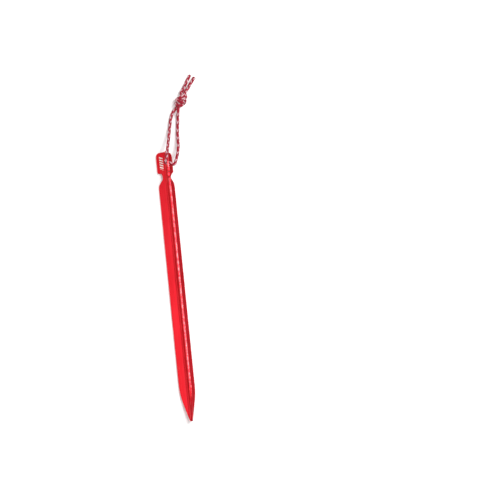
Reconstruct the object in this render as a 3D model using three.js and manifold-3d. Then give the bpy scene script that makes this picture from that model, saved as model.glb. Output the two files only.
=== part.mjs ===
// A lightweight three-arm (Y-section) aluminium ground stake with a knotted pull cord.
//
// The stake is one length of extruded Y-bar lying on two of its arms. The third arm, the ridge,
// stands straight up and carries the hole for the cord. Millimetres, +Z up, the bar runs along Y:
// head at +Y, point at -Y, origin under the middle of the bar on the surface it lies on.
import * as THREE from "three";
import { mergeVertices } from "three/addons/utils/BufferGeometryUtils.js";
import Module from "manifold-3d";

// ---------------------------------------------------------------- driving dimensions
const LENGTH = 190; // head end to point
const ARM_RADIUS = 6.4; // axis to the end of an arm
const WEB = 1.28; // thickness of an arm
const BULB = 1.6; // thickness of an arm at its thickened end
const HUB_FILLET = 2.3; // radius where two arms meet

const HOLE_DIAMETER = 3.2; // in the ridge, for the cord
const HOLE_FROM_HEAD = 8.5;
const HOLE_RADIUS_POSITION = 4.0; // from the bar's axis to the hole's

const CORD_DIAMETER = 2.2;
const CORD_SIDES = 8;
const KNOT = { x: 15.5, y: 36, z: 4.3, along: 6, across: 4, up: 3.75, dx: 0.407, dy: 0.914 };
const GAP = 0.3; // left between touching cord solids

// How far each arm reaches from the axis, as a share of ARM_RADIUS, against the distance from the head.
// Of the two lower arms the left has a square hook under the head and the right a sloping one, both with a deep neck.
// The ridge has only a shallow scoop there.
const HEAD_CORNER = [
  [0, 0.56], [0.1, 0.64], [0.3, 0.71], [0.6, 0.78], [1, 0.85], [1.4, 0.893], [1.8, 0.922], [2.5, 0.953], [3.2, 0.976], [3.9, 0.99], [4.7, 1],
];
const HEAD_LEFT = [
  ...HEAD_CORNER,
  [14.4, 1], [14.8, 0.99], [15.15, 0.96], [15.38, 0.91], [15.5, 0.84], [15.5, 0.62],
  [15.62, 0.565], [15.95, 0.525], [16.5, 0.503], [17.3, 0.497], [18, 0.507], [18.7, 0.533], [19.4, 0.575], [20.1, 0.632],
  [20.8, 0.702], [21.5, 0.775], [22.2, 0.838], [22.9, 0.887], [23.6, 0.926], [24.3, 0.955], [25.3, 0.982], [26.6, 1],
];
const HEAD_RIGHT = [
  ...HEAD_CORNER,
  [12.6, 1], [13.2, 0.993], [13.7, 0.965], [14.2, 0.9], [14.8, 0.79], [15.2, 0.7], [15.6, 0.628], [16.2, 0.565], [16.9, 0.54],
  [17.6, 0.555], [18.3, 0.603], [18.9, 0.675], [19.6, 0.782], [20.4, 0.888], [21.2, 0.955], [22.2, 0.985], [24, 1],
];
const HEAD_RIDGE = [
  ...HEAD_CORNER,
  [14.3, 1], [14.8, 0.985], [15.2, 0.945], [15.6, 0.88], [16.1, 0.825], [16.7, 0.8], [17.3, 0.805], [17.9, 0.84],
  [18.5, 0.885], [19.1, 0.925], [19.8, 0.96], [20.7, 0.985], [21.9, 1],
];
// The same against the distance from the point: a slender, slightly bellied taper on every arm.
const POINT = [
  [0, 0.045], [0.08, 0.08], [0.3, 0.112], [0.9, 0.153], [1.6, 0.188], [2.3, 0.22], [3.7, 0.288], [5.1, 0.35], [6.6, 0.413],
  [8, 0.476], [9.4, 0.539], [10.8, 0.6], [12.2, 0.66], [13.6, 0.715], [15, 0.766], [16.4, 0.811],
  [17.8, 0.85], [19.2, 0.885], [20.6, 0.915], [22, 0.94], [23.4, 0.96], [24.9, 0.976], [26.6, 0.99], [28.6, 1],
];

// The middle line of each half of the cord, from the hole to the knot, and of the two tails beyond it.
// x across the bar, y beyond the head end, z above the surface the bar lies on.
const HEAD_Y = LENGTH / 2;
const FLOOR_Z = CORD_DIAMETER / 2 + 0.06;
const LEFT_LINE = [
  [0, -8.5, 7.68], [-0.95, -8.55, 7.72], [-1.8, -8.2, 8], [-2.2, -7.4, 8.75], [-2.1, -6.5, 9.75], [-1.75, -5.3, 10.65], [-1.4, -3.9, 11.1],
  [-1, -2.3, 11.15], [-0.37, -2.4, 11], [0.03, -1.05, 10.6], [0.87, 1.34, 9.3], [1.88, 4.25, 7.6], [3.64, 9.55, 4.9], [5.23, 15.12, 2.9],
  [6.49, 19.74, 1.7], [7.51, 23.92, 1.2], [9.06, 27.75, 1.2], [10.6, 30.24, 1.5], [10.95, 30.5, 1.9], [12.3, 32.3, 2.3], [13.2, 34, 2.9],
];
const RIGHT_LINE = [
  [0, -8.5, 7.68], [1.2, -8.7, 7.68], [2.7, -9.15, 7.6], [5.3, -9.68, 7.35], [6.35, -7.52, 7], [7.24, -5.62, 6.6], [8.22, -3.07, 6.1],
  [9.06, -0.46, 5.4], [9.83, 2.34, 4.5], [10.39, 4.84, 3.7], [10.88, 8.8, 2.7], [11.2, 12.63, 2], [11.65, 16.4, 1.55], [12.16, 20.16, 1.4],
  [12.48, 23.09, 1.5], [12.64, 25.4, 1.9], [12.67, 27.45, 2.8], [13.1, 28.6, 3.9], [13.6, 30.6, 4.5], [14.3, 33, 4.9],
];
const TAIL_LEFT_LINE = [
  [15.6, 40.2, 3.4], [16.33, 41.92, 2.9], [18.42, 45.02, 2], [20.67, 48.78, 1.3], [22.29, 51.51, 1.16], [23.87, 54.13, 1.16],
];
const TAIL_RIGHT_LINE = [
  [18.3, 39.4, 3.4], [19.03, 41.94, 3], [21.4, 44.88, 2.1], [23.77, 48.16, 1.3], [25.34, 50.4, 1.16], [26.86, 52.46, 1.16],
];

// ---------------------------------------------------------------- materials
const anodised = new THREE.MeshStandardMaterial({ color: 0xd01c2c, roughness: 0.3, metalness: 0.9 });
const braid = new THREE.MeshStandardMaterial({ color: 0xb81c3c, roughness: 0.85, metalness: 0 });

// ---------------------------------------------------------------- solids and meshes
const wasm = await Module();
wasm.setup();

function toSolid(geometry, matrix = null) {
  const g = geometry.clone();
  if (matrix) g.applyMatrix4(matrix);
  g.deleteAttribute("normal");
  g.deleteAttribute("uv");
  const m = mergeVertices(g, 1e-4);
  return new wasm.Manifold(
    new wasm.Mesh({ numProp: 3, vertProperties: new Float32Array(m.attributes.position.array), triVerts: new Uint32Array(m.index.array) }),
  );
}

function toMesh(solid, name, material) {
  const m = solid.getMesh();
  const positions = new Float32Array(m.numVert * 3);
  for (let i = 0; i < m.numVert; i++) positions.set(m.vertProperties.subarray(i * m.numProp, i * m.numProp + 3), i * 3);
  const g = new THREE.BufferGeometry();
  g.setAttribute("position", new THREE.BufferAttribute(positions, 3));
  g.setIndex(new THREE.BufferAttribute(new Uint32Array(m.triVerts), 1));
  g.computeVertexNormals();
  const mesh = new THREE.Mesh(g, material);
  mesh.name = name;
  return mesh;
}

// ---------------------------------------------------------------- the bar
const ARMS = [
  { angle: 90, head: HEAD_RIDGE }, // the ridge, with the hole
  { angle: 210, head: HEAD_LEFT },
  { angle: 330, head: HEAD_RIGHT },
].map((a) => ({ ...a, u: [Math.cos((a.angle * Math.PI) / 180), Math.sin((a.angle * Math.PI) / 180)] }));

// One arm's side in its own coordinates: along the arm, and out from its middle plane.
function armSide() {
  const half = WEB / 2, bulb = BULB / 2, tangent = (half + HUB_FILLET) / Math.tan(Math.PI / 3);
  const side = [[tangent, half], [ARM_RADIUS * 0.55, half], [ARM_RADIUS * 0.74, half + 0.02], [ARM_RADIUS * 0.84, half + (bulb - half) * 0.45], [ARM_RADIUS * 0.905, bulb]];
  for (let i = 1; i <= 5; i++) {
    const t = (i / 5) * (Math.PI / 2);
    side.push([ARM_RADIUS * 0.905 + (ARM_RADIUS * 0.095) * Math.sin(t), bulb * (0.35 + 0.65 * Math.cos(t))]);
  }
  return side;
}

function section() {
  const side = armSide(), points = [];
  const reach = (WEB / 2 + HUB_FILLET) / Math.sin(Math.PI / 3);
  ARMS.forEach((arm) => {
    const a = (arm.angle * Math.PI) / 180, c = Math.cos(a), s = Math.sin(a);
    const at = (r, h) => new THREE.Vector2(r * c - h * s, r * s + h * c);
    side.forEach(([r, h]) => points.push(at(r, -h)));
    [...side].reverse().forEach(([r, h]) => points.push(at(r, h)));
    const b = a + Math.PI / 3; // the hollow between this arm and the next
    for (let i = 1; i <= 5; i++) {
      const t = b + Math.PI + (Math.PI / 6) * (1 - (2 * i) / 6);
      points.push(new THREE.Vector2(reach * Math.cos(b) + HUB_FILLET * Math.cos(t), reach * Math.sin(b) + HUB_FILLET * Math.sin(t)));
    }
  });
  return new THREE.Shape(points);
}

const outline = section();
const AXIS_HEIGHT = -Math.min(...outline.getPoints().map((p) => p.y)); // the bar lies on its two lower arms

const overshoot = 1;
const barGeometry = new THREE.ExtrudeGeometry(outline, { depth: LENGTH + 2 * overshoot, bevelEnabled: false, steps: 1 });
barGeometry.rotateX(Math.PI / 2);
barGeometry.translate(0, HEAD_Y + overshoot, AXIS_HEIGHT);
let bar = toSolid(barGeometry);

for (const arm of ARMS) {
  const reachLine = [...arm.head, ...[...POINT].reverse().map(([d, r]) => [LENGTH - d, r])];
  const shape = new THREE.Shape([...reachLine.map(([s, r]) => new THREE.Vector2(r * ARM_RADIUS, s)), new THREE.Vector2(-9, LENGTH), new THREE.Vector2(-9, 0)]);
  const keep = new THREE.ExtrudeGeometry(shape, { depth: 18, bevelEnabled: false, steps: 1 });
  const along = new THREE.Vector3(arm.u[0], 0, arm.u[1]), down = new THREE.Vector3(0, -1, 0);
  const normal = new THREE.Vector3().crossVectors(along, down);
  const place = new THREE.Matrix4().makeBasis(along, down, normal).setPosition(-9 * normal.x, HEAD_Y, AXIS_HEIGHT - 9 * normal.z);
  bar = bar.intersect(toSolid(keep, place));
}

const drill = new THREE.CylinderGeometry(HOLE_DIAMETER / 2, HOLE_DIAMETER / 2, 4, 24);
drill.rotateZ(Math.PI / 2);
drill.translate(0, HEAD_Y - HOLE_FROM_HEAD, AXIS_HEIGHT + HOLE_RADIUS_POSITION);
bar = bar.subtract(toSolid(drill));

// ---------------------------------------------------------------- the cord
function knotSolid(grow) {
  const g = new THREE.SphereGeometry(1, 20, 14);
  g.rotateX(Math.PI / 2);
  g.scale(KNOT.across + grow, KNOT.along + grow, KNOT.up + grow);
  g.rotateZ(-Math.atan2(KNOT.dx, KNOT.dy));
  g.translate(KNOT.x, HEAD_Y + KNOT.y, KNOT.z);
  return toSolid(g);
}

function cordSolid(line, steps) {
  const curve = new THREE.CatmullRomCurve3(line.map(([x, y, z]) => new THREE.Vector3(x, HEAD_Y + y, Math.max(z, FLOOR_Z))), false, "centripetal");
  const circle = new THREE.Shape();
  for (let i = 0; i < CORD_SIDES; i++) {
    const t = ((i + 0.5) / CORD_SIDES) * 2 * Math.PI;
    const x = (CORD_DIAMETER / 2) * Math.cos(t), y = (CORD_DIAMETER / 2) * Math.sin(t);
    if (i) circle.lineTo(x, y);
    else circle.moveTo(x, y);
  }
  circle.closePath();
  return toSolid(new THREE.ExtrudeGeometry(circle, { steps, extrudePath: curve, bevelEnabled: false }));
}

// A block on one side of the hole's middle, which trims the two halves of the cord apart there.
function blockBeside(sign) {
  const g = new THREE.BoxGeometry(3, 5, 5);
  g.translate(sign * (1.5 - GAP / 2), HEAD_Y - HOLE_FROM_HEAD, AXIS_HEIGHT + HOLE_RADIUS_POSITION);
  return toSolid(g);
}

const biggest = (solid) => solid.decompose().sort((a, b) => b.volume() - a.volume())[0];
const keepOut = knotSolid(GAP);
const left = biggest(cordSolid(LEFT_LINE, 52).subtract(blockBeside(1)).subtract(keepOut));
const right = biggest(cordSolid(RIGHT_LINE, 44).subtract(blockBeside(-1)).subtract(keepOut));
const tailLeft = biggest(cordSolid(TAIL_LEFT_LINE, 14).subtract(keepOut));
const tailRight = biggest(cordSolid(TAIL_RIGHT_LINE, 14).subtract(keepOut));

// ---------------------------------------------------------------- the assembly
const stake = new THREE.Group();
stake.name = "tent_stake";
stake.add(toMesh(bar, "y_beam", anodised));
const cord = new THREE.Group();
cord.name = "pull_cord";
cord.add(toMesh(left, "cord_left_strand", braid));
cord.add(toMesh(right, "cord_right_strand", braid));
cord.add(toMesh(knotSolid(0), "cord_knot", braid));
cord.add(toMesh(tailLeft, "cord_tail_left", braid));
cord.add(toMesh(tailRight, "cord_tail_right", braid));
stake.add(cord);

export default stake;
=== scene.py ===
"""A three-arm aluminium tent stake with its knotted pull cord, on a plain white table.

Metres in the row frame: the stake lies along Y on its two lower arms, head at +Y, ridge arm up.
"""

import math

import bpy
import bmesh
import numpy as np
from mathutils import Matrix, Vector

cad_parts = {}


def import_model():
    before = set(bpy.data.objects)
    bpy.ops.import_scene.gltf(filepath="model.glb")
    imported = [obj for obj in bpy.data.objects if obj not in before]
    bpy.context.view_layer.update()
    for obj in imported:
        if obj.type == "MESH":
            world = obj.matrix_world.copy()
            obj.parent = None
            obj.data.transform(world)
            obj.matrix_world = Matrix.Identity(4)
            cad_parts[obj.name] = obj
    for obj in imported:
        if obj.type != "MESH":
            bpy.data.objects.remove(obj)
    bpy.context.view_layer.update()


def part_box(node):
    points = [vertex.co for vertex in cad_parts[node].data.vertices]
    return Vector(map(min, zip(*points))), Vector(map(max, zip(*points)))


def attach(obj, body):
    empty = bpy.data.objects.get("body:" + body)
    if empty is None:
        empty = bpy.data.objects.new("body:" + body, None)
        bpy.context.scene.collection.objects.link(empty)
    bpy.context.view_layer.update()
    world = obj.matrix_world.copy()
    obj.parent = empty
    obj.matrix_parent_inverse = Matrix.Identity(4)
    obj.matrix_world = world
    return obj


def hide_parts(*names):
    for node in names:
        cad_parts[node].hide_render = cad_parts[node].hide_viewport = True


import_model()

MM = 0.001

# ------------------------------------------------------------------ sizes, in mm, as the solids have them
LENGTH = 190.0
HEAD_Y = LENGTH / 2
R = 6.4
WEB_H = 0.64
BULB_H = 0.8
HUB = 2.3
HOLE_S, HOLE_R, HOLE_D = 8.5, 4.0, 3.2
D = 2.2  # cord
FLOOR_Z = D / 2 + 0.06
bar_lo, bar_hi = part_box("y_beam")
AXIS_Z = (bar_hi[2] - R * MM) / MM  # the ridge arm ends at the top of the bar's box

# ------------------------------------------------------------------ camera
PHI, PSI = math.radians(17.2), math.radians(12.0)
PX_MM = 0.688
TIP_PX = (191.8, 420.3)
right = Vector((math.cos(PHI), 0, math.sin(PHI)))
up = Vector((-math.sin(PSI) * math.sin(PHI), math.cos(PSI), math.sin(PSI) * math.cos(PHI)))
back = right.cross(up)
ROLL = math.atan2(0.0999, 0.995) + 0.0032  # the stake leans to the left in the picture
cr, sr = math.cos(ROLL), math.sin(ROLL)
cam_x = right * cr - up * sr
cam_y = right * sr + up * cr
cam_z = back
DIST = 3.2
cam_data = bpy.data.cameras.new("camera")
cam_data.sensor_width = 36.0
cam_data.lens = 36.0 * DIST / (500 * PX_MM * MM)
cam_data.clip_start, cam_data.clip_end = 0.05, 20.0
cam = bpy.data.objects.new("camera", cam_data)
bpy.context.scene.collection.objects.link(cam)
# the point that sits at the middle of the picture, found from where the tip has to be
tip = Vector((0, -HEAD_Y * MM, AXIS_Z * MM))
du, dv = (TIP_PX[0] - 250) * PX_MM * MM, (250 - TIP_PX[1]) * PX_MM * MM
target = tip - cam_x * du - cam_y * dv
target += cam_z * ((Vector((0, 0, AXIS_Z * MM)) - target).dot(cam_z))
cam.matrix_world = Matrix.Translation(target + cam_z * DIST) @ Matrix((cam_x, cam_y, cam_z)).transposed().to_4x4()
bpy.context.scene.camera = cam

# ------------------------------------------------------------------ cord centre lines, mm: x, y beyond the head end, z
# From the middle of the hole to the knot. The cord's two halves lie one on each side of the ridge.
LEFT_LINE = [
    (0, -8.5, 7.68), (-1, -8.75, 8.1), (-1.65, -8.65, 9), (-1.75, -8.1, 9.95), (-0.99, -7.55, 10.75), (-1.15, -6.2, 11.05), (-1.11, -5.02, 11.12),
    (-0.75, -3.68, 11.1), (-0.37, -2.4, 11), (0.03, -1.05, 10.6), (0.87, 1.34, 9.3), (1.88, 4.25, 7.6), (3.64, 9.55, 4.9), (5.23, 15.12, 2.9),
    (6.49, 19.74, 1.7), (7.51, 23.92, 1.2), (9.06, 27.75, 1.2), (10.6, 30.24, 1.5), (11.56, 31.14, 2),
]
RIGHT_LINE = [
    (0, -8.5, 7.68), (1.2, -8.7, 7.68), (2.7, -9.15, 7.6), (5.3, -9.68, 7.35), (6.35, -7.52, 7), (7.24, -5.62, 6.6), (8.22, -3.07, 6.1),
    (9.06, -0.46, 5.4), (9.83, 2.34, 4.5), (10.39, 4.84, 3.7), (10.88, 8.8, 2.7), (11.2, 12.63, 2), (11.65, 16.4, 1.55), (12.16, 20.16, 1.4),
    (12.48, 23.09, 1.5), (12.64, 25.4, 1.9), (12.67, 27.45, 2.8), (12.7, 28.79, 3.7),
]
# Through the doubled overhand knot, each half on its own way.
KNOT_LEFT = [
    (12.85, 32.51, 2.94), (13.30, 33.71, 3.13), (13.69, 34.91, 3.38), (14.04, 36.11, 3.71), (14.35, 37.25, 4.23), (14.81, 38.22, 4.93),
    (15.73, 38.95, 5.43), (16.88, 39.45, 5.31), (17.75, 39.62, 4.43), (17.68, 39.36, 3.21), (16.78, 38.90, 2.44), (15.58, 38.50, 2.35),
    (14.35, 38.19, 2.61), (13.26, 37.76, 3.11), (12.65, 37.04, 3.97), (12.67, 36.23, 4.96), (12.98, 35.47, 5.95), (13.78, 34.77, 6.62),
    (15.00, 34.53, 6.47), (15.89, 34.95, 5.68), (16.22, 35.90, 4.90), (16.23, 37.09, 4.41), (16.19, 38.33, 4.05), (16.26, 39.59, 3.81),
    (16.62, 40.81, 3.61),
]
KNOT_RIGHT = [
    (13.25, 32.33, 4.58), (13.72, 33.51, 4.78), (14.17, 34.69, 5.03), (14.65, 35.82, 5.41), (15.41, 36.70, 5.94), (16.57, 37.14, 6.12),
    (17.68, 36.91, 5.63), (18.06, 36.13, 4.71), (18.13, 35.30, 3.73), (17.85, 34.76, 2.62), (16.97, 34.80, 1.74), (15.87, 35.35, 1.43),
    (14.72, 35.91, 1.39), (13.50, 35.80, 1.65), (12.53, 35.19, 2.21), (11.92, 34.57, 3.13), (11.90, 33.91, 4.23), (12.11, 33.31, 5.34),
    (12.85, 32.69, 6.12), (14.05, 32.39, 6.06), (15.05, 32.65, 5.32), (15.73, 33.31, 4.46), (16.16, 34.25, 3.71), (16.55, 35.37, 3.23),
    (17.20, 36.45, 3.03), (18.12, 37.35, 3.02), (18.98, 38.30, 3.08), (19.55, 39.44, 3.16),
]
# The two loose ends beyond the knot.
TAIL_LEFT_LINE = [
    (16.33, 41.92, 2.9), (18.42, 45.02, 2), (20.67, 48.78, 1.3), (22.29, 51.51, 1.16), (23.87, 54.13, 1.16), (24.70, 55.50, 1.16),
]
TAIL_RIGHT_LINE = [
    (19.03, 41.94, 3), (21.4, 44.88, 2.1), (23.77, 48.16, 1.3), (25.34, 50.4, 1.16), (26.86, 52.46, 1.16), (27.81, 53.75, 1.16),
]


# ------------------------------------------------------------------ small helpers
def node_tree(mat):
    mat.use_nodes = True
    nt = mat.node_tree
    nt.nodes.clear()
    return nt


class NT:
    """Short names for making nodes."""

    def __init__(self, mat):
        self.nt = node_tree(mat)
        self.n = 0

    def new(self, kind, **props):
        node = self.nt.nodes.new(kind)
        node.location = (200 * (self.n % 8), -220 * (self.n // 8))
        self.n += 1
        for k, v in props.items():
            setattr(node, k, v)
        return node

    def link(self, a, b):
        self.nt.links.new(a, b)

    def math(self, op, a, b=None, c=None, clamp=False):
        m = self.new("ShaderNodeMath", operation=op, use_clamp=clamp)
        for i, v in enumerate((a, b, c)):
            if v is None:
                continue
            if isinstance(v, (int, float)):
                m.inputs[i].default_value = v
            else:
                self.link(v, m.inputs[i])
        return m.outputs[0]

    def ramp(self, fac, stops, interp="LINEAR"):
        r = self.new("ShaderNodeValToRGB")
        r.color_ramp.interpolation = interp
        els = r.color_ramp.elements
        while len(els) < len(stops):
            els.new(0.5)
        for e, (p, c) in zip(els, stops):
            e.position = p
            e.color = (*c, 1) if len(c) == 3 else c
        self.link(fac, r.inputs[0])
        return r.outputs[0]

    def mix(self, fac, a, b, blend="MIX"):
        m = self.new("ShaderNodeMix", data_type="RGBA", blend_type=blend)
        if isinstance(fac, (int, float)):
            m.inputs[0].default_value = fac
        else:
            self.link(fac, m.inputs[0])
        for i, v in ((6, a), (7, b)):
            if isinstance(v, (tuple, list)):
                m.inputs[i].default_value = (*v, 1) if len(v) == 3 else v
            else:
                self.link(v, m.inputs[i])
        return m.outputs[2]

    def mapping(self, vec, scale=(1, 1, 1), loc=(0, 0, 0), rot=(0, 0, 0)):
        m = self.new("ShaderNodeMapping")
        m.inputs["Location"].default_value = loc
        m.inputs["Rotation"].default_value = rot
        m.inputs["Scale"].default_value = scale
        self.link(vec, m.inputs[0])
        return m.outputs[0]

    def noise(self, vec, scale, detail=2.0, rough=0.5, dist=0.0):
        n = self.new("ShaderNodeTexNoise")
        n.inputs["Scale"].default_value = scale
        n.inputs["Detail"].default_value = detail
        n.inputs["Roughness"].default_value = rough
        n.inputs["Distortion"].default_value = dist
        self.link(vec, n.inputs["Vector"])
        return n.outputs[0]

    def attr(self, name, out="Fac"):
        a = self.new("ShaderNodeAttribute", attribute_name=name)
        return a.outputs[out]


def catmull(points, per=10):
    """A centripetal Catmull-Rom curve through the points, as a dense polyline."""
    p = np.array(points, float)
    p = np.vstack([2 * p[0] - p[1], p, 2 * p[-1] - p[-2]])
    out = []
    for i in range(1, len(p) - 2):
        q = p[i - 1 : i + 3]
        t = np.cumsum([0.0] + [max(np.linalg.norm(q[k + 1] - q[k]), 1e-6) ** 0.5 for k in range(3)])
        for u in np.linspace(t[1], t[2], per, endpoint=False):
            a = [((t[k + 1] - u) * q[k] + (u - t[k]) * q[k + 1]) / (t[k + 1] - t[k]) for k in range(3)]
            b = [((t[k + 2] - u) * a[k] + (u - t[k]) * a[k + 1]) / (t[k + 2] - t[k]) for k in range(2)]
            out.append(((t[2] - u) * b[0] + (u - t[1]) * b[1]) / (t[2] - t[1]))
    out.append(p[-2])
    return np.array(out)


def resampled(line, step):
    d = np.r_[0, np.cumsum(np.linalg.norm(np.diff(line, axis=0), axis=1))]
    n = max(2, int(round(d[-1] / step)))
    at = np.linspace(0, d[-1], n + 1)
    return np.stack([np.interp(at, d, line[:, k]) for k in range(3)], 1), d[-1]


def smoothed(line, times, keep=2):
    q = line.copy()
    for _ in range(times):
        m = q.copy()
        m[1:-1] = q[1:-1] * 0.5 + (q[:-2] + q[2:]) * 0.25
        m[:keep], m[-keep:] = line[:keep], line[-keep:]
        q = m
    return q


def mesh_object(name, verts, faces, smooth=True):
    me = bpy.data.meshes.new(name)
    me.from_pydata([tuple(v) for v in verts], [], [tuple(f) for f in faces])
    me.validate()
    me.update()
    if smooth:
        me.polygons.foreach_set("use_smooth", [True] * len(me.polygons))
    ob = bpy.data.objects.new(name, me)
    bpy.context.scene.collection.objects.link(ob)
    return ob


def float_attr(ob, name, values):
    a = ob.data.attributes.new(name, "FLOAT", "POINT")
    a.data.foreach_set("value", np.asarray(values, np.float32))

# ------------------------------------------------------------------ the cord
# A braid of twelve strands, six each way, two over and two under; some of them are pale.
CARRIERS = 6
PITCH = 12.0  # mm along the cord for one turn of a strand
AROUND = 48
RING_STEP = 0.24


def braid_height(u, v):
    """Relief of the braid at u turns round the cord and v mm along it, 0 to 1."""
    a, b = CARRIERS * (u + v / PITCH), CARRIERS * (u - v / PITCH)
    over_a = np.mod(np.floor(a) + np.floor(b), 4) < 2
    across = np.where(over_a, a - np.floor(a), b - np.floor(b))
    other = np.where(over_a, b, a)
    k = np.where(over_a, np.floor(a) + np.floor(b), np.floor(a) + np.floor(b))
    along = np.where(np.mod(k, 2) == 0, other - np.floor(other), 1 + other - np.floor(other)) / 2  # 0..1 along the float
    dome = np.sqrt(np.clip(1 - (2 * across - 1) ** 2, 0, 1))
    rise = 0.55 + 0.45 * np.sin(np.pi * np.clip(along, 0, 1)) ** 0.7
    return dome * rise


def braided_cord(name, line, radius_of, seed):
    """A braided tube along the line (mm), with u, v laid out as turns round and mm along."""
    pts, length = resampled(line, RING_STEP)
    tan = np.gradient(pts, axis=0)
    tan /= np.linalg.norm(tan, axis=1)[:, None]
    side = np.cross(tan[0], (0.3, 0.2, 0.93))
    side /= np.linalg.norm(side)
    at = np.linspace(0, length, len(pts))
    turn = np.arange(AROUND) / AROUND
    verts, u_all, v_all, melt = [], [], [], []
    for i, (p, t) in enumerate(zip(pts, tan)):
        side = side - t * side.dot(t)
        side /= np.linalg.norm(side)
        up_ = np.cross(t, side)
        v = at[i]
        end = length - v  # the far end is heat-sealed
        r0 = radius_of(v, length)
        m = np.clip(1 - end / 0.9, 0, 1)
        cap = math.sqrt(max(0.0, 1 - max(0.0, 1 - end / 0.55) ** 2)) if end < 0.55 else 1.0
        r0 *= 1 + 0.05 * m
        near = math.sqrt(max(0.0, 1 - max(0.0, 1 - v / 0.2) ** 2)) if v < 0.2 else 1.0
        h = braid_height(turn + seed * 0.11, v + seed * 3.1)
        slack = 0.012 * np.sin(2 * np.pi * (turn * 2 + v / 5.3 + seed)) + 0.010 * np.sin(2 * np.pi * (turn * 3 - v / 3.7))
        rad = (r0 - 0.15 * (1 - m) * (1 - h) + slack) * max(cap, 0.02) * max(near, 0.02)
        ang = 2 * np.pi * turn
        ring = p[None] + rad[:, None] * (np.cos(ang)[:, None] * side[None] + np.sin(ang)[:, None] * up_[None])
        verts.append(ring)
        melt += [float(m)] * AROUND
    n = len(pts)
    verts = np.vstack(verts) * MM
    faces = []
    for i in range(n - 1):
        a, b = i * AROUND, (i + 1) * AROUND
        for j in range(AROUND):
            k = (j + 1) % AROUND
            faces.append((a + j, a + k, b + k, b + j))
    verts = np.vstack([verts, pts[:1] * MM, pts[-1:] * MM])
    first, last = len(verts) - 2, len(verts) - 1
    for j in range(AROUND):
        k = (j + 1) % AROUND
        faces.append((first, k, j))
        faces.append((last, (n - 1) * AROUND + j, (n - 1) * AROUND + k))
    ob = mesh_object(name, verts, faces)
    me = ob.data
    float_attr(ob, "melt", melt + [0.0, 1.0])
    uv = me.uv_layers.new(name="UVMap")
    coords = np.zeros((len(me.loops), 2), np.float32)
    loop_vert = np.zeros(len(me.loops), np.int32)
    me.loops.foreach_get("vertex_index", loop_vert)
    ring_of = np.minimum(loop_vert // AROUND, n - 1)
    coords[:, 0] = (loop_vert % AROUND) / AROUND
    coords[:, 1] = at[ring_of]
    # the seam: a loop on the last column's face that ends on column 0 belongs at turn 1
    starts = np.zeros(len(me.polygons), np.int32)
    totals = np.zeros(len(me.polygons), np.int32)
    me.polygons.foreach_get("loop_start", starts)
    me.polygons.foreach_get("loop_total", totals)
    for s, t in zip(starts, totals):
        c = coords[s : s + t, 0]
        if c.max() - c.min() > 0.5:
            c[c < 0.5] += 1.0
    coords[:, 0] += seed * 0.11
    coords[:, 1] = (coords[:, 1] + seed * 3.1) * 0.1  # one unit of v is a centimetre
    uv.data.foreach_set("uv", coords.ravel())
    return ob, pts, length


def world(points):
    return np.array(points, float) + np.array([0, HEAD_Y, 0])


def cord_line(*parts):
    line = catmull(world([p for part in parts for p in part]), 12)
    line[:, 2] = np.maximum(line[:, 2], FLOOR_Z)
    line, _ = resampled(line, 0.3)
    return smoothed(line, 3)


def in_knot(v, start, end):
    return np.clip((v - start) / 2.5, 0, 1) * np.clip((end - v) / 2.5, 0, 1)


def lengths(*parts):
    return [np.linalg.norm(np.diff(catmull(world(p), 12), axis=0), axis=1).sum() for p in parts]


cords = {}
for name, lead, knot, tail_pts, seed in (
    ("pull_cord_left", LEFT_LINE, KNOT_LEFT, TAIL_LEFT_LINE, 1),
    ("pull_cord_right", RIGHT_LINE, KNOT_RIGHT, TAIL_RIGHT_LINE, 2),
):
    line = cord_line(lead, knot, tail_pts)
    knot_from = lengths(lead)[0]
    knot_to = lengths(lead + knot)[0]
    squeeze = lambda v, length, a=knot_from, b=knot_to: D / 2 * (1 + 0.12 * in_knot(v, a, b))
    ob, pts, length = braided_cord(name, line, squeeze, seed)
    cords[name] = (ob, pts, length)
    print(name, "real length %.1f mm" % length)

left_cord, right_cord = cords["pull_cord_left"][0], cords["pull_cord_right"][0]
for name, nodes in (
    ("pull_cord_left", ("cord_left_strand", "cord_tail_left", "cord_knot")),
    ("pull_cord_right", ("cord_right_strand", "cord_tail_right")),
):
    ob, pts, length = cords[name]
    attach(ob, "pull_loop")
    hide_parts(*nodes)

# ------------------------------------------------------------------ the bar
# Reach of an arm, as a share of R, against the distance from the head end and from the point.
HEAD_CORNER = [
    (0, 0.58), (0.1, 0.68), (0.3, 0.76), (0.6, 0.825), (1, 0.875), (1.4, 0.91), (1.8, 0.935), (2.5, 0.965), (3.2, 0.983), (4, 0.995), (4.8, 1),
]
HEAD_LEFT = HEAD_CORNER + [
    (13.5, 1), (13.95, 0.988), (14.32, 0.958), (14.58, 0.915), (14.74, 0.86), (14.8, 0.8), (14.803, 0.66),
    (14.95, 0.6), (15.3, 0.56), (15.8, 0.522), (16.4, 0.495), (17.1, 0.475), (17.7, 0.462), (18.2, 0.46), (18.8, 0.47),
    (19.4, 0.505), (20.1, 0.578), (20.8, 0.668), (21.5, 0.755), (22.2, 0.828), (22.9, 0.888), (23.6, 0.932), (24.6, 0.975), (26, 1),
]
HEAD_RIGHT = HEAD_CORNER + [
    (12.6, 1), (13.1, 0.99), (13.6, 0.955), (14.1, 0.892), (14.7, 0.8), (15.3, 0.715), (15.9, 0.638), (16.5, 0.572), (17, 0.535),
    (17.6, 0.525), (18.2, 0.548), (18.8, 0.6), (19.4, 0.668), (20.1, 0.752), (20.8, 0.825), (21.5, 0.88), (22.3, 0.928), (23.1, 0.96), (24.1, 0.985), (25.4, 1),
]
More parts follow.
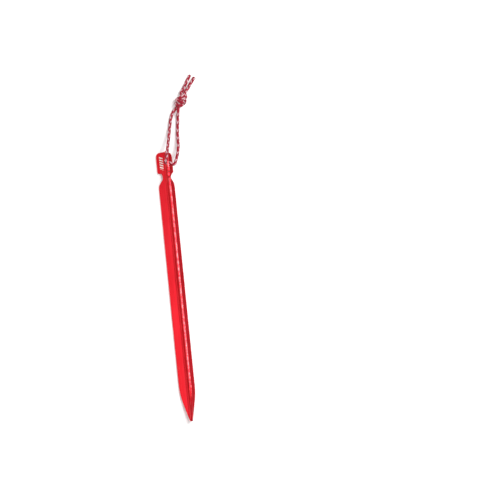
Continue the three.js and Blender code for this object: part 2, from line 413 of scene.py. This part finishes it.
HEAD_RIDGE = HEAD_CORNER + [
    (13, 1), (13.8, 0.992), (14.6, 0.965), (15.4, 0.92), (16.2, 0.878), (17, 0.86), (17.8, 0.87), (18.6, 0.905), (19.4, 0.942), (20.3, 0.972), (21.4, 0.993), (22.6, 1),
]
POINT = [
    (0, 0.045), (0.08, 0.08), (0.3, 0.112), (0.9, 0.153), (1.6, 0.188), (2.3, 0.22), (3.7, 0.288), (5.1, 0.35), (6.6, 0.413),
    (8, 0.476), (9.4, 0.539), (10.8, 0.6), (12.2, 0.66), (13.6, 0.715), (15, 0.766), (16.4, 0.811),
    (17.8, 0.85), (19.2, 0.885), (20.6, 0.915), (22, 0.94), (23.4, 0.96), (24.9, 0.976), (26.6, 0.99), (28.6, 1),
]
EDGE = 0.16  # radius of the deburred edges


def profile(points):
    """(s, r) of an arm's outline in mm from head end to point: the listed head points, then the point's, scaled by R.
    """
    pts = points + [(LENGTH - d, r) for d, r in reversed(POINT)]
    pts = [(s, r * R) for s, r in pts]
    return np.array(pts)


def monotone(points, at):
    """Smooth monotone interpolation (Fritsch-Carlson) of r against s."""
    x, y = points[:, 0], points[:, 1]
    h, d = np.diff(x), np.diff(y) / np.diff(x)
    m = np.zeros(len(x))
    m[0], m[-1] = d[0], d[-1]
    for i in range(1, len(x) - 1):
        if d[i - 1] * d[i] > 0:
            w1, w2 = 2 * h[i] + h[i - 1], h[i] + 2 * h[i - 1]
            m[i] = (w1 + w2) / (w1 / d[i - 1] + w2 / d[i])
    k = np.clip(np.searchsorted(x, at, side="right") - 1, 0, len(h) - 1)
    t = (at - x[k]) / h[k]
    return (
        (1 + 2 * t) * (1 - t) ** 2 * y[k] + t * (1 - t) ** 2 * h[k] * m[k] + t * t * (3 - 2 * t) * y[k + 1] + t * t * (t - 1) * h[k] * m[k + 1]
    )


ARMS = [(90, profile(HEAD_RIDGE)), (210, profile(HEAD_LEFT)), (330, profile(HEAD_RIGHT))]

stations = [0, 0.006, 0.025, 0.055, 0.095, 0.16, 0.24, 0.34, 0.46, 0.6, 0.8, 1.0, 1.25, 1.5, 1.8, 2.15, 2.5, 2.9, 3.4, 3.9, 4.7]
stations += list(np.arange(5.4, 14.0, 0.7)) + [14.1, 14.3, 14.5, 14.65, 14.8, 14.92, 15.02, 15.1, 15.18, 15.25, 15.31, 15.36, 15.4, 15.435, 15.465, 15.487, 15.5]
stations += [15.5006, 15.5012, 15.5018, 15.5024, 15.503, 15.53, 15.57, 15.62, 15.7, 15.8, 15.95, 16.1, 16.3]
stations += list(np.arange(16.5, 28.0, 0.25)) + list(np.arange(28.0, LENGTH - 30, 2.2)) + list(np.arange(LENGTH - 30, LENGTH - 2.5, 0.6))
stations += [LENGTH - d for d in (2.4, 2.0, 1.6, 1.25, 0.95, 0.7, 0.5, 0.34, 0.22, 0.13, 0.07, 0.03, 0.0)]
stations = np.array(sorted(set(round(float(s), 5) for s in stations)))

REACH = (WEB_H + HUB) / math.sin(math.pi / 3)
CX, CY = REACH * 0.5, REACH * math.sin(math.pi / 3)
R_B = (REACH - HUB) * 0.5  # where the fillet meets the line half way to the next arm


def half_thickness(r):
    """Half thickness of an arm at r from the axis, fillet and bulb included."""
    r = np.asarray(r, float)
    fillet = CY - np.sqrt(np.maximum(HUB**2 - (r - CX) ** 2, 0))
    q = r / R
    bulb = np.interp(q, [0, 0.55, 0.64, 0.72, 0.80, 0.865, 0.905], [WEB_H, WEB_H, WEB_H + 0.008, WEB_H + 0.028, WEB_H + 0.075, BULB_H - 0.035, BULB_H])
    t = np.clip((q - 0.905) / 0.095, 0, 1)
    tip_round = BULB_H * (0.35 + 0.65 * np.sqrt(1 - t**2))
    web = np.where(q > 0.905, tip_round, bulb)
    h = np.where(r < CX, np.maximum(fillet, web * 0), web)
    return np.where(r < R_B, r * math.tan(math.pi / 3), h)


def outline_distance(s, r, poly):
    """Distance in the arm's plane from (s, r) to the arm's cut outline, head end included."""
    a, b = poly[:-1], poly[1:]
    ab = b - a
    ap = np.stack([s, r], -1)[:, None, :] - a[None]
    t = np.clip((ap * ab[None]).sum(-1) / np.maximum((ab**2).sum(-1), 1e-12)[None], 0, 1)
    d = np.linalg.norm(ap - t[..., None] * ab[None], axis=-1).min(1)
    return np.minimum(d, s)


SIDE_N, ROUND_N, FLAT_N = 22, 5, 3
sect, wear_and_highlight_rows, cuts = [], [], []
polys = {}
for angle, pts in ARMS:
    dense_s = np.unique(np.r_[np.linspace(0, LENGTH, 500), pts[:, 0], np.linspace(0, 5, 60), np.linspace(14, 27, 160), stations])
    polys[angle] = np.stack([dense_s, monotone(pts, dense_s)], 1)

for s in stations:
    ring, wear_and_highlight, cut = [], [], []
    for angle, pts in ARMS:
        a = math.radians(angle)
        ur, un = np.array([math.cos(a), math.sin(a)]), np.array([-math.sin(a), math.cos(a)])
        rc = float(monotone(pts, np.array([s]))[0])
        e = min(EDGE, rc * 0.3)
        rb = min(R_B, rc)
        # where along the arm the points stand: even over the fillet and web, closer at the end
        f = np.linspace(0, 1, SIDE_N)
        f = 0.62 * f + 0.38 * (1 - (1 - f) ** 2)
        side = rb + (max(rc - e, rb) - rb) * f
        th = np.linspace(0, math.pi / 2, ROUND_N + 1)[1:]
        rounded = rc - e + e * np.sin(th) if rc - e > rb else np.full(ROUND_N, rc)
        r_all = np.r_[side, rounded]
        h_all = half_thickness(np.minimum(r_all, rc))
        dist = outline_distance(np.full(len(r_all), s), r_all, polys[angle])
        if rc < R_B + 0.02:
            dist[:] = np.minimum(s, LENGTH)
        d = np.clip(dist, 0, EDGE)
        drop = EDGE - np.sqrt(np.maximum(EDGE**2 - (EDGE - d) ** 2, 0))
        h_all = np.maximum(h_all - drop, 0.12 * h_all)
        flat = np.linspace(1, 0, FLAT_N + 2)[1:-1] * h_all[-1]
        half = [(r, h) for r, h in zip(r_all, h_all)] + [(rc, h) for h in flat]
        w = list(np.exp(-(dist / 0.16) ** 2)) + [0.35] * len(flat)
        # the thickened end of the arm rubs along its whole length
        # painted highlight: a pale band along the whole length of each arm's thickened end, where the light stripe on
        # the ridge end falls
        w = [max(x, 0.75 * math.exp(-(((r - 0.955 * R) / 0.25) ** 2))) if r > 0.85 * R else x for x, (r, h) in zip(w, half)]
        first = [(r, -h) for r, h in half] + [(rc, 0.0)]
        second = [(r, h) for r, h in reversed(half)]
        # the bisector point belongs to both neighbours, so only one arm keeps it
        for (r, h), x in list(zip(first + second, w + [0.35] + list(reversed(w))))[:-1]:
            p = ur * r + un * h
            ring.append((p[0], HEAD_Y - s, AXIS_Z + p[1]))
            wear_and_highlight.append(x)
            cut.append(1.0 if rc < 0.996 * R and math.hypot(r, h) > rc - 0.03 else 0.0)
    sect.append(ring)
    wear_and_highlight_rows.append(wear_and_highlight)
    cuts.append(cut)

rings, around = len(sect), len(sect[0])
verts = np.array(sect, float).reshape(-1, 3)
wear_and_highlight = np.array(wear_and_highlight_rows, float).ravel()
faces = []
for i in range(rings - 1):
    a, b = i * around, (i + 1) * around
    for j in range(around):
        k = (j + 1) % around
        faces.append((a + j, a + k, b + k, b + j))
faces.append(tuple(range(around - 1, -1, -1)))
faces.append(tuple((rings - 1) * around + j for j in range(around)))
bar = mesh_object("stake_bar", verts * MM, faces)
# per point: real wear on the cut edges, and the painted highlight band along the arm ends
float_attr(bar, "wear_and_highlight", wear_and_highlight)
float_attr(bar, "cut", np.array(cuts, float).ravel())
bm = bmesh.new()
bm.from_mesh(bar.data)
bmesh.ops.remove_doubles(bm, verts=bm.verts, dist=2e-7)
bmesh.ops.recalc_face_normals(bm, faces=bm.faces)
bm.to_mesh(bar.data)
bm.free()

# the hole, with its rims eased
def lathe(name, profile_pts, steps, centre):
    vs, fs = [], []
    for x, r in profile_pts:
        for j in range(steps):
            t = 2 * math.pi * j / steps
            vs.append((centre[0] + x, centre[1] + r * math.cos(t), centre[2] + r * math.sin(t)))
    m = len(profile_pts)
    for i in range(m - 1):
        for j in range(steps):
            k = (j + 1) % steps
            fs.append((i * steps + j, i * steps + k, (i + 1) * steps + k, (i + 1) * steps + j))
    fs.append(tuple(range(steps)))
    fs.append(tuple((m - 1) * steps + j for j in range(steps - 1, -1, -1)))
    return mesh_object(name, np.array(vs) * MM, fs)


hr, rim = HOLE_D / 2, 0.16
half_spool = [(WEB_H - rim + rim * (1 - math.cos(t)) * 0 + rim * math.sin(t), hr + rim * (1 - math.cos(t))) for t in np.linspace(0, math.pi / 2, 6)]
spool = [(0.0, hr)] + half_spool + [(WEB_H + 1.2, hr + rim)]
spool = [(-x, r) for x, r in reversed(spool[1:])] + spool
cutter = lathe("cutter", spool, 56, (0, HEAD_Y - HOLE_S, AXIS_Z + HOLE_R))
boolean = bar.modifiers.new("hole", "BOOLEAN")
boolean.operation, boolean.solver, boolean.object = "DIFFERENCE", "EXACT", cutter
bm = bmesh.new()
bm.from_mesh(cutter.data)
bmesh.ops.recalc_face_normals(bm, faces=bm.faces)
bm.to_mesh(cutter.data)
bm.free()
bpy.context.view_layer.objects.active = bar
bar.select_set(True)
bpy.ops.object.modifier_apply(modifier="hole")
bpy.data.objects.remove(cutter)
bar.data.polygons.foreach_set("use_smooth", [True] * len(bar.data.polygons))
bpy.ops.object.shade_smooth_by_angle(angle=math.radians(42))
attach(bar, "stake")
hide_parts("y_beam")

# ------------------------------------------------------------------ materials
def anodised_material():
    mat = bpy.data.materials.new("red_anodised")
    g = NT(mat)
    out = g.new("ShaderNodeOutputMaterial")
    bsdf = g.new("ShaderNodeBsdfPrincipled")
    g.link(bsdf.outputs[0], out.inputs[0])
    co = g.new("ShaderNodeTexCoord").outputs["Object"]
    wear_highlight_attr, cut_a = g.attr("wear_and_highlight"), g.attr("cut")

    along = g.mapping(co, scale=(1, 0.02, 1))  # stretched along the bar, as an extrusion is
    dye = g.noise(g.mapping(co, scale=(1, 0.25, 1)), 90, 3, 0.55)
    streak = g.noise(along, 2600, 3, 0.6)
    grain = g.noise(co, 5200, 2, 0.6)
    colour = g.ramp(dye, [(0.3, (0.62, 0.004, 0.012)), (0.5, (0.72, 0.007, 0.018)), (0.72, (0.80, 0.013, 0.028))])
    band_tone = g.noise(g.mapping(co, scale=(1, 0.012, 1)), 420, 2, 0.5)
    colour = g.mix(g.ramp(band_tone, [(0.36, (0.55, 0.55, 0.55)), (0.62, (0, 0, 0))]), colour, (0.50, 0.003, 0.010))
    colour = g.mix(g.math("MULTIPLY", g.ramp(streak, [(0.45, (0, 0, 0)), (0.62, (1, 1, 1))]), 0.22), colour, (0.80, 0.035, 0.05))

    # rubbed edges: the dye thins first at the corners, in patches; the same mask also paints a pale pink highlight
    # along each arm's end
    patch = g.noise(co, 420, 4, 0.65)
    wear_or_highlight = g.math("MULTIPLY", wear_highlight_attr, g.ramp(patch, [(0.38, (0.12, 0.12, 0.12)), (0.62, (1, 1, 1))]))
    wear_highlight_fac = g.ramp(wear_or_highlight, [(0.28, (0, 0, 0)), (0.95, (0.62, 0.62, 0.62))])
    # paler, pinker colour for the rubbed edges and for the painted highlight along the arm ends
    colour = g.mix(wear_highlight_fac, colour, (0.86, 0.24, 0.26))

    # hairline scratches, most of them along the bar
    thin = g.noise(g.mapping(co, scale=(1, 0.05, 1), rot=(0, 0, 0.10)), 620, 1, 0.4)
    hair = g.math("ABSOLUTE", g.math("SUBTRACT", thin, 0.5))
    hair = g.ramp(hair, [(0.0, (1, 1, 1)), (0.006, (0, 0, 0))])
    where = g.ramp(g.noise(co, 60, 2, 0.5), [(0.52, (0, 0, 0)), (0.66, (1, 1, 1))])
    scratch = g.math("MULTIPLY", hair, where)
    colour = g.mix(g.math("MULTIPLY", scratch, 0.35), colour, (0.88, 0.22, 0.24))

    # the pale print on the left arm's upper face: a plain row of slanted bars
    sep = g.new("ShaderNodeSeparateXYZ")
    g.link(co, sep.inputs[0])
    x_mm = g.math("MULTIPLY", sep.outputs[0], 1000.0)
    s_mm = g.math("SUBTRACT", HEAD_Y, g.math("MULTIPLY", sep.outputs[1], 1000.0))
    z_mm = g.math("SUBTRACT", g.math("MULTIPLY", sep.outputs[2], 1000.0), AXIS_Z)
    c30, s30 = math.cos(math.radians(30)), 0.5
    r_mm = g.math("ADD", g.math("MULTIPLY", x_mm, -c30), g.math("MULTIPLY", z_mm, -s30))
    n_mm = g.math("ADD", g.math("MULTIPLY", x_mm, -s30), g.math("MULTIPLY", z_mm, c30))
    upper = g.ramp(n_mm, [(0.0, (0, 0, 0)), (0.05, (1, 1, 1))])

    def band(value, low, high, soft=0.05):
        rise = g.math("MULTIPLY_ADD", value, 1 / soft, -low / soft, clamp=True)
        fall = g.math("MULTIPLY_ADD", value, -1 / soft, high / soft, clamp=True)
        return g.math("MULTIPLY", rise, fall)

    slant = g.math("ADD", s_mm, g.math("MULTIPLY", r_mm, 0.45))
    phase = g.math("FRACT", g.math("DIVIDE", g.math("SUBTRACT", slant, 4.75), 1.72))
    bars = band(phase, 0.0, 0.58, 0.05)
    rows = g.math("MULTIPLY", band(slant, 4.75, 13.6), band(r_mm, 1.65, 4.15))
    stroke = g.math("MULTIPLY", g.math("MULTIPLY", bars, rows), upper)
    flake = g.ramp(g.noise(co, 1500, 3, 0.6), [(0.30, (0.15, 0.15, 0.15)), (0.42, (1, 1, 1))])
    ink = g.math("MULTIPLY", stroke, flake)
    colour = g.mix(ink, colour, (0.95, 0.92, 0.86))
    g.link(colour, bsdf.inputs["Base Color"])
    metal = g.math("SUBTRACT", 0.95, g.math("MULTIPLY", ink, 0.95))
    g.link(metal, bsdf.inputs["Metallic"])

    rough = g.math("ADD", 0.25, g.math("MULTIPLY", streak, 0.10))
    rough = g.math("ADD", rough, g.math("MULTIPLY", grain, 0.05))
    rough = g.math("ADD", rough, g.math("MULTIPLY", wear_highlight_fac, 0.08))
    rough = g.math("ADD", rough, g.math("MULTIPLY", ink, 0.25))
    g.link(rough, bsdf.inputs["Roughness"])
    bsdf.inputs["Coat Weight"].default_value = 0.12
    bsdf.inputs["Coat Roughness"].default_value = 0.22
    bsdf.inputs["Coat IOR"].default_value = 1.6

    # relief: die lines along the bar, fine etch, and turning marks on the cut faces
    turning = g.math("SINE", g.math("MULTIPLY", s_mm, 2 * math.pi / 0.22))
    die = g.math("ADD", g.math("MULTIPLY", streak, 0.6), g.math("MULTIPLY", grain, 0.35))
    height = g.math("ADD", die, g.math("MULTIPLY", g.math("MULTIPLY", turning, cut_a), 0.45))
    height = g.math("SUBTRACT", height, g.math("MULTIPLY", scratch, 0.8))
    height = g.math("ADD", height, g.math("MULTIPLY", ink, 1.5))
    bump = g.new("ShaderNodeBump")
    bump.inputs["Strength"].default_value = 0.30
    bump.inputs["Distance"].default_value = 0.00001
    g.link(height, bump.inputs["Height"])
    g.link(bump.outputs[0], bsdf.inputs["Normal"])
    return mat


def braid_material():
    mat = bpy.data.materials.new("reflective_braid")
    g = NT(mat)
    out = g.new("ShaderNodeOutputMaterial")
    bsdf = g.new("ShaderNodeBsdfPrincipled")
    g.link(bsdf.outputs[0], out.inputs[0])
    uv = g.new("ShaderNodeTexCoord").outputs["UV"]
    co = g.new("ShaderNodeTexCoord").outputs["Object"]
    sep = g.new("ShaderNodeSeparateXYZ")
    g.link(uv, sep.inputs[0])
    u = sep.outputs[0]
    vt = g.math("DIVIDE", g.math("MULTIPLY", sep.outputs[1], 10.0), PITCH)
    a = g.math("MULTIPLY", g.math("ADD", u, vt), CARRIERS)
    b = g.math("MULTIPLY", g.math("SUBTRACT", u, vt), CARRIERS)
    fa, fb = g.math("FLOOR", a), g.math("FLOOR", b)
    cell = g.math("FLOORED_MODULO", g.math("ADD", fa, fb), 4.0)
    over_a = g.math("LESS_THAN", cell, 1.5)

    def pick(when_a, when_b):
        return g.math("ADD", g.math("MULTIPLY", over_a, when_a), g.math("MULTIPLY", g.math("SUBTRACT", 1.0, over_a), when_b))

    across = pick(g.math("FRACT", a), g.math("FRACT", b))
    number = pick(fa, g.math("ADD", fb, 37.0))
    pale_a = g.math("COMPARE", g.math("FLOORED_MODULO", fa, 3.0), 0.0, 0.5)
    pale_b = g.math("COMPARE", g.math("FLOORED_MODULO", fb, 3.0), 1.0, 0.5)
    pale = pick(pale_a, pale_b)
    centre = g.math("ABSOLUTE", g.math("SUBTRACT", g.math("MULTIPLY", across, 2.0), 1.0))
    # painted shade: the colour darkens towards each strand's edges, in the grooves between strands
    painted_groove_shade = g.ramp(centre, [(0.55, (0, 0, 0)), (1.0, (1, 1, 1))])
    filament = g.math("SINE", g.math("MULTIPLY", across, 2 * math.pi * 4))
    hashed = g.new("ShaderNodeTexWhiteNoise", noise_dimensions="1D")
    g.link(number, hashed.inputs["W"])
    fuzz = g.noise(co, 9000, 3, 0.7)
    soil = g.noise(co, 260, 3, 0.6)

    red = g.ramp(hashed.outputs[0], [(0.0, (0.25, 0.002, 0.014)), (0.5, (0.34, 0.004, 0.021)), (1.0, (0.43, 0.006, 0.031))])
    red = g.mix(g.math("MULTIPLY", fuzz, 0.3), red, (0.48, 0.014, 0.045))
    white = g.ramp(fuzz, [(0.3, (0.56, 0.30, 0.34)), (0.7, (0.84, 0.60, 0.63))])
    # painted shade: the pale strands turn darker and redder towards their edges
    pale_with_painted_edge_shade = g.mix(g.ramp(centre, [(0.35, (0, 0, 0)), (0.95, (0.8, 0.8, 0.8))]), white, (0.50, 0.05, 0.10))
    colour = g.mix(pale, red, pale_with_painted_edge_shade)
    # painted shade in the grooves of the braid
    colour = g.mix(g.math("MULTIPLY", painted_groove_shade, 0.75), colour, (0.10, 0.001, 0.006))
    colour = g.mix(g.ramp(soil, [(0.5, (0, 0, 0)), (0.8, (0.25, 0.25, 0.25))]), colour, (0.28, 0.012, 0.03))
    melt = g.attr("melt")
    colour = g.mix(g.math("MULTIPLY", melt, 0.75), colour, (0.22, 0.008, 0.016))
    g.link(colour, bsdf.inputs["Base Color"])
    rough = g.math("SUBTRACT", 0.72, g.math("MULTIPLY", pale, 0.22))
    rough = g.math("SUBTRACT", rough, g.math("MULTIPLY", melt, 0.30))
    g.link(rough, bsdf.inputs["Roughness"])
    bsdf.inputs["Sheen Weight"].default_value = 0.08
    bsdf.inputs["Sheen Roughness"].default_value = 0.5
    bsdf.inputs["Specular IOR Level"].default_value = 0.25
    height = g.math("ADD", g.math("MULTIPLY", filament, 0.35), g.math("MULTIPLY", fuzz, 0.8))
    height = g.math("MULTIPLY", height, g.math("SUBTRACT", 1.0, melt))
    bump = g.new("ShaderNodeBump")
    bump.inputs["Strength"].default_value = 0.55
    bump.inputs["Distance"].default_value = 0.00004
    g.link(height, bump.inputs["Height"])
    g.link(bump.outputs[0], bsdf.inputs["Normal"])
    return mat


metal = anodised_material()
bar.data.materials.clear()
bar.data.materials.append(metal)
weave = braid_material()
for ob in (left_cord, right_cord):
    ob.data.materials.append(weave)

# ------------------------------------------------------------------ floor and light
def floor_material():
    mat = bpy.data.materials.new("table")
    g = NT(mat)
    out = g.new("ShaderNodeOutputMaterial")
    bsdf = g.new("ShaderNodeBsdfPrincipled")
    g.link(bsdf.outputs[0], out.inputs[0])
    co = g.new("ShaderNodeTexCoord").outputs["Object"]
    tone = g.noise(co, 300, 3, 0.6)
    g.link(g.ramp(tone, [(0.3, (0.90, 0.90, 0.90)), (0.7, (0.93, 0.93, 0.93))]), bsdf.inputs["Base Color"])
    bsdf.inputs["Roughness"].default_value = 0.8
    bsdf.inputs["Emission Color"].default_value = (1, 1, 1, 1)
    bsdf.inputs["Emission Strength"].default_value = 0.15
    bsdf.inputs["Specular IOR Level"].default_value = 0.2
    return mat


bm = bmesh.new()
bmesh.ops.create_grid(bm, x_segments=2, y_segments=2, size=3.0)
me = bpy.data.meshes.new("table")
bm.to_mesh(me)
bm.free()
floor = bpy.data.objects.new("table", me)
bpy.context.scene.collection.objects.link(floor)
floor.location = (0, 0, -0.00005)
floor.data.materials.append(floor_material())

scene = bpy.context.scene
scene.view_settings.view_transform = "Standard"
scene.view_settings.look = "None"
world = bpy.data.worlds.new("studio")
scene.world = world
world.use_nodes = True
wn = world.node_tree
bg = wn.nodes["Background"]
bg.inputs[0].default_value = (1, 1, 1, 1)
bg.inputs[1].default_value = 0.45


def area(name, loc, aim, size, power, colour=(1, 1, 1)):
    d = bpy.data.lights.new(name, "AREA")
    d.shape = "RECTANGLE"
    d.size, d.size_y = size
    d.energy = power
    d.color = colour
    o = bpy.data.objects.new(name, d)
    scene.collection.objects.link(o)
    o.location = loc
    o.rotation_mode = "QUATERNION"
    o.rotation_quaternion = (Vector(aim) - Vector(loc)).to_track_quat("-Z", "Y")
    return o


area("left", (-0.68, 0.15, 0.70), (0, 0, 0), (0.30, 0.9), 1.4)
area("top", (0.27, 0.2, 0.95), (0, 0, 0), (0.34, 0.8), 8.5)
area("right", (0.70, -0.1, 0.45), (0, 0, 0), (0.3, 0.8), 0.5)
